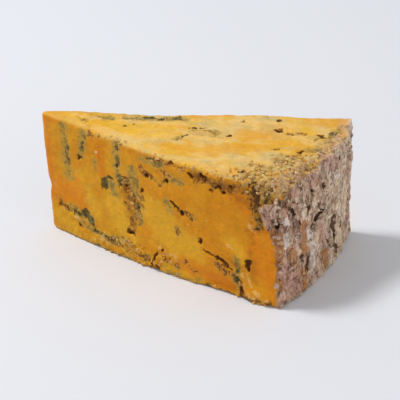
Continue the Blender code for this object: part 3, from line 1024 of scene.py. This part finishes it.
rindColours = {
    "Tan": (0.76, 0.47, 0.30),
    "Mauve Tan": (0.70, 0.395, 0.31),
    "Grey Brown": (0.30, 0.178, 0.112),
    "Cream": (0.94, 0.74, 0.54),
    "White": (0.90, 0.79, 0.72),
    "Dark": (0.10, 0.047, 0.020),
    "Orange Brown": (0.55, 0.23, 0.070),
    "Pit": (0.06, 0.022, 0.009),
}
rindLookMarks = ("pit", "cream", "white", "mauve", "dark", "orange", "cavityShadow", "crest", "litAlongRind")
tall = (1.0, 1.0, 0.5)  # the rind's patches stand upright
rindNoise = {  # size in metres, seed, low, high, detail, stretch
    "finest": (0.0004, 25.0, 0.2, 0.8),
    "fine": (0.0013, 23.0, 0.25, 0.75, 6.0, tall),
    "medium": (0.0030, 35.0, 0.25, 0.75, 7.0, tall),
    "creasing": (0.0040, 41.0, 0.2, 0.8, 6.0, tall),
    "mauvePatches": (0.009, 27.0),
    "dustyPatches": (0.0044, 31.0, 0.46, 0.66, 6.0, tall),
    "dingyPatches": (0.0036, 29.0, 0.45, 0.58, 6.0, tall),
    "orangePatches": (0.008, 37.0, 0.56, 0.70),
    "darkPatches": (0.0026, 39.0, 0.57, 0.65, 5.0, tall),
}


def rindGroup():
    look = Look("rindLook", rindColours, rindLookMarks, rindNoise)
    coat, torn, times, line = look.coat, look.torn, look.times, look.line
    look.colour = look.mix("mauvePatches", "Tan", "Mauve Tan")
    # painted shade gradient: more cream further along the rind, more grey brown near its front corner
    coat("Cream", "litAlongRind", 0.6)
    coat("Cream", times("dustyPatches", line("litAlongRind", 0.50, 0.45)))
    coat("Grey Brown", times("dingyPatches", line("litAlongRind", -0.50, 0.95)))
    coat("Orange Brown", "orangePatches", 0.5)
    # painted highlight on the rind's crests
    coat("Cream", times("crest", "medium"), 0.8)
    coat("Orange Brown", torn("orange", "medium", 1.0, 0.25), 0.85)
    coat("Mauve Tan", torn("mauve", "medium", 1.0, 0.3), 0.8)
    coat("Cream", torn("cream", "medium", 1.1, 0.2), 0.85)
    coat("White", torn("white", "medium", 1.3, 0.3), 0.8)
    # painted shade along the rind's crevices
    coat("Dark", times(look.creased("creasing", 0.09), "medium"), 0.9)
    coat("Dark", "darkPatches", 0.68)
    # painted shade in the hollows of the rind
    coat("Dark", "cavityShadow", 0.85)
    coat("Dark", torn("dark", "medium", 1.1, 0.2), 0.9)
    pits = torn("pit", "fine", 0.8)
    coat("Pit", pits, 0.95)
    look.give("Color", look.shaded(look.colour, "fine", 0.76, 1.18))
    look.give("Roughness", line("fine", 0.15, 0.75))
    height = line("medium", 0.30, line("finest", 0.16, times("fine", 0.40)))
    look.give("Height", line(pits, -0.5, height))
    return look.tree


pasteLook = pasteGroup()
rindLook = rindGroup()


def newFinish(name, shine, marks):  # a material, its tree, its shader and the marks stored on the points
    material = bpy.data.materials.new(name)
    material.use_nodes = True
    tree = material.node_tree
    shader = tree.nodes["Principled BSDF"]
    for label, value in shine.items():
        shader.inputs[label].default_value = value
    found = {"Place": tree.nodes.new("ShaderNodeTexCoord").outputs["Object"]}
    for mark in marks:
        found[mark] = made(tree, "ShaderNodeAttribute", {}, attribute_name=mark).outputs["Fac"]
    return material, tree, shader, found


def placedLook(tree, look, found, marks):  # a look reading the marks that it needs
    return placed(tree, look, {label: found[label] for label in ("Place",) + marks})


def bumped(tree, shader, height, distance, strength):
    bump = made(tree, "ShaderNodeBump", {"Height": height, "Distance": distance, "Strength": strength})
    feed(tree, shader.inputs["Normal"], bump.outputs[0])


wedgeShine = {
    "Subsurface Weight": 0.12,
    "Subsurface Radius": (1.0, 0.4, 0.12),
    "Subsurface Scale": 0.0025,
    "Specular IOR Level": 0.13,
}
wedgeBump = (0.001, 0.8)  # distance in metres, strength


def wedgeFinish():
    marks = ("rind",) + tuple(dict.fromkeys(pasteLookMarks + rindLookMarks))
    material, tree, shader, found = newFinish("pasteAndRind", wedgeShine, marks)
    paste = placedLook(tree, pasteLook, found, pasteLookMarks)
    rind = placedLook(tree, rindLook, found, rindLookMarks)
    feed(tree, shader.inputs["Base Color"], mixed(tree, found["rind"], paste["Color"], rind["Color"]))
    rough, height = (
        made(tree, "ShaderNodeMix", {0: found["rind"], 2: paste[label], 3: rind[label]}).outputs[0]
        for label in ("Roughness", "Height")
    )
    feed(tree, shader.inputs["Roughness"], rough)
    bumped(tree, shader, height, *wedgeBump)
    return material


wedgeBody.data.materials.append(wedgeFinish())
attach(wedgeBody, "root")
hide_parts("cheese_wedge")
print("wedge finished")


grainShape = {
    "ball": {"Radius": 0.5, "Segments": 7, "Rings": 5},
    "shifts": (0.0, 3.7, 8.1),  # three lumpy balls to pick from
    "lumpScale": 2.4,
    "lumpDepth": 1.5,
    "narrowest": 0.55,  # width of the narrowest grain against its length
    "spin": 6.283,
}


def scatterGroup():  # small deformed grains scattered where a mark on the surface says
    tree = bpy.data.node_groups.new("scatteredBits", "GeometryNodeTree")
    kinds = {
        "Geometry": "Geometry", "Where": "String", "Density": "Float", "Seed": "Int", "Smallest": "Float",
        "Largest": "Float", "Flatness": "Float", "Tilt": "Float", "Finish": "Material",
    }
    for label, kind in kinds.items():
        tree.interface.new_socket(label, in_out="INPUT", socket_type="NodeSocket" + kind)
    tree.interface.new_socket("Geometry", in_out="OUTPUT", socket_type="NodeSocketGeometry")
    given = tree.nodes.new("NodeGroupInput").outputs

    def step(kind, inputs, **settings):
        return made(tree, "GeometryNode" + kind, inputs, **settings).outputs

    def position():
        return step("InputPosition", {})[0]

    def chance(low, high, seed, kind="FLOAT"):
        first, result = {"FLOAT": (2, 1), "INT": (4, 2)}[kind]
        inputs = {first: low, first + 1: high, "Seed": seed}
        return made(tree, "FunctionNodeRandomValue", inputs, data_type=kind).outputs[result]

    def triple(first, second, third):
        return made(tree, "ShaderNodeCombineXYZ", {0: first, 1: second, 2: third}).outputs[0]

    where = step("InputNamedAttribute", {"Name": given["Where"]}, data_type="FLOAT")["Attribute"]
    inputs = {"Density": worked(tree, "MULTIPLY", given["Density"], where), "Seed": given["Seed"]}
    spread = step("DistributePointsOnFaces", {"Mesh": given["Geometry"]} | inputs)
    shapes = tree.nodes.new("GeometryNodeJoinGeometry")
    for shift in grainShape["shifts"]:
        spot = vectored(tree, "ADD", position(), (shift, shift, shift))
        noise = made(tree, "ShaderNodeTexNoise", {"Scale": grainShape["lumpScale"], "Vector": spot})
        away = vectored(tree, "SUBTRACT", noise.outputs["Color"], (0.5, 0.5, 0.5))
        away = vectored(tree, "MULTIPLY", away, (grainShape["lumpDepth"],) * 3)
        ball = step("MeshUVSphere", grainShape["ball"])["Mesh"]
        push = step("SetPosition", {"Geometry": ball, "Offset": away})
        tree.links.new(step("GeometryToInstance", {0: push[0]})[0], shapes.inputs[0])

    lean = worked(tree, "MULTIPLY", given["Tilt"], -1.0)
    spin = chance(0.0, grainShape["spin"], 3)
    turn = triple(chance(lean, given["Tilt"], 1), chance(lean, given["Tilt"], 2), spin)
    turn = made(tree, "FunctionNodeEulerToRotation", {0: turn}).outputs[0]
    inputs = {0: spread["Rotation"], 1: turn}
    turned = made(tree, "FunctionNodeRotateRotation", inputs, rotation_space="LOCAL").outputs[0]
    size = chance(given["Smallest"], given["Largest"], 4)
    width = worked(tree, "MULTIPLY", size, chance(grainShape["narrowest"], 1.0, 5))
    inputs = {
        "Points": spread["Points"], "Instance": shapes.outputs[0], "Pick Instance": True,
        "Instance Index": chance(0, 2, 6, "INT"), "Rotation": turned,
        "Scale": triple(size, width, worked(tree, "MULTIPLY", size, given["Flatness"])),
    }
    inputs = {"Geometry": step("InstanceOnPoints", inputs)[0], "Name": "tone", "Value": chance(0.0, 1.0, 7)}
    toned = step("StoreNamedAttribute", inputs, data_type="FLOAT", domain="INSTANCE")
    real = step("RealizeInstances", {0: toned[0]})[0]
    above = vectored(tree, "MAXIMUM", position(), (-1.0, -1.0, 0.0))  # nothing sinks into the floor
    lifted = step("SetPosition", {"Geometry": real, "Position": above})[0]
    finish = step("SetMaterial", {"Geometry": lifted, "Material": given["Finish"]})
    feed(tree, tree.nodes.new("NodeGroupOutput").inputs[0], finish[0])
    return tree


scatteredBits = scatterGroup()
bitsShine = {
    "Subsurface Weight": 0.1,
    "Subsurface Radius": (1.0, 0.4, 0.12),
    "Subsurface Scale": 0.0015,
    "Specular IOR Level": 0.2,
}
bitsBump = (0.0006, 1.0)


def bitsFinish(bits):  # a grain takes the look under it, and a tone of its own
    marks = bits["marks"]
    material, tree, shader, found = newFinish(bits["finish"], bitsShine, marks + ("tone", "crumb"))
    out = placedLook(tree, bits["look"], found, marks)
    colour = out["Color"]
    amount = worked(tree, "MULTIPLY_ADD", found["crumb"], bits["moreTone"], bits["tone"])
    for low, tint in bits["tones"]:
        chosen = worked(tree, "MULTIPLY", worked(tree, "GREATER_THAN", found["tone"], low), amount)
        colour = mixed(tree, chosen, colour, tint + (1.0,))
    feed(tree, shader.inputs["Base Color"], colour)
    feed(tree, shader.inputs["Roughness"], out["Roughness"])
    bumped(tree, shader, out["Height"], *bitsBump)
    return material


def scattered(name, bits):  # the bits as one plain mesh
    piece = bpy.data.objects.new(name, wedgeBody.data.copy())
    bpy.context.scene.collection.objects.link(piece)
    modifier = piece.modifiers.new("scatteredBits", "NODES")
    modifier.node_group = scatteredBits
    settings = bits["sizes"] | {"Finish": bitsFinish(bits)}
    for item in scatteredBits.interface.items_tree:
        if item.in_out == "INPUT" and item.name in settings:
            modifier[item.identifier] = settings[item.name]
    ready = piece.evaluated_get(bpy.context.evaluated_depsgraph_get())
    mesh = bpy.data.meshes.new_from_object(ready)
    piece.modifiers.clear()
    old = piece.data
    piece.data = mesh
    bpy.data.meshes.remove(old)
    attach(piece, "root")
    print(name, "has", len(mesh.polygons), "faces")


surfaceCrumbs = {
    "sizes": {
        "Where": "crumbly",
        "Density": 6.0e5,  # grains a square metre where the mark is full
        "Seed": 4,
        "Smallest": 0.0004,
        "Largest": 0.0014,
        "Flatness": 0.8,
        "Tilt": 3.1,
    },
    "finish": "crumbFinish",
    "look": pasteLook,
    "marks": ("top", "olive", "underRind"),
    "tones": ((0.32, (0.86, 0.47, 0.07)), (0.46, (0.86, 0.61, 0.37)), (0.70, (0.27, 0.17, 0.055))),
    "tone": 0.3,  # how far a grain's own tone shows
    "moreTone": 0.3,  # and how much further in the crumbled zone
}
rindFlakes = {
    "sizes": {
        "Where": "flaky",
        "Density": 1.3e5,
        "Seed": 9,
        "Smallest": 0.0008,
        "Largest": 0.0027,
        "Flatness": 0.30,
        "Tilt": 0.25,
    },
    "finish": "flakeFinish",
    "look": rindLook,
    "marks": ("cream", "white", "mauve", "dark", "orange", "pit", "litAlongRind"),
    "tones": ((0.36, (0.90, 0.72, 0.54)), (0.62, (0.66, 0.43, 0.36)), (0.86, (0.24, 0.13, 0.08))),
    "tone": 0.34,
    "moreTone": 0.0,
}
scattered("surfaceCrumbs", surfaceCrumbs)
scattered("rindFlakes", rindFlakes)


studio = {
    "floorSize": 4.0,
    "floorColour": (0.80, 0.82, 0.87, 1.0),
    "floorRoughness": 0.8,
    "cameraPlace": (0.2031, -0.6010, 0.3980),
    "cameraAim": (0.004, 0.0, 0.019),
    "lens": 200.0,
    "windowPlace": (-0.46, -0.05, 0.87),
    "windowSize": 0.2,
    "windowPower": 5.4,
    "bouncePlace": (0.8, -0.3, 0.1),
    "bounceSize": 0.5,
    "bouncePower": 1.9,
    "roomLight": 0.48,
}


def aimed(piece, place, aim):  # puts a light or camera at a place, looking at the aim
    piece.location = place
    piece.rotation_euler = (Vector(aim) - Vector(place)).to_track_quat("-Z", "Y").to_euler()
    bpy.context.scene.collection.objects.link(piece)


def softLight(name, place, size, power):
    light = bpy.data.lights.new(name, "AREA")
    light.energy = power
    light.size = size
    aimed(bpy.data.objects.new(name, light), place, (0.0, 0.0, 0.0))


half = studio["floorSize"] / 2.0
floorMesh = bpy.data.meshes.new("floor")
corners = [(-half, -half, 0), (half, -half, 0), (half, half, 0), (-half, half, 0)]
floorMesh.from_pydata(corners, [], [(0, 1, 2, 3)])
floorFinish = bpy.data.materials.new("floorPaper")
floorFinish.use_nodes = True
floorShader = floorFinish.node_tree.nodes["Principled BSDF"]
floorShader.inputs["Base Color"].default_value = studio["floorColour"]
floorShader.inputs["Roughness"].default_value = studio["floorRoughness"]
floorMesh.materials.append(floorFinish)
floor = bpy.data.objects.new("floor", floorMesh)
bpy.context.scene.collection.objects.link(floor)

camera = bpy.data.objects.new("camera", bpy.data.cameras.new("camera"))
camera.data.lens = studio["lens"]
aimed(camera, studio["cameraPlace"], studio["cameraAim"])
bpy.context.scene.camera = camera
softLight("windowLight", studio["windowPlace"], studio["windowSize"], studio["windowPower"])
softLight("bounceLight", studio["bouncePlace"], studio["bounceSize"], studio["bouncePower"])
room = bpy.data.worlds.new("room")
room.use_nodes = True
sky = room.node_tree.nodes["Background"]
sky.inputs["Color"].default_value = (1.0, 1.0, 1.0, 1.0)
sky.inputs["Strength"].default_value = studio["roomLight"]
bpy.context.scene.world = room
bpy.context.scene.view_settings.view_transform = "Standard"
print("floor, lights and camera ready")
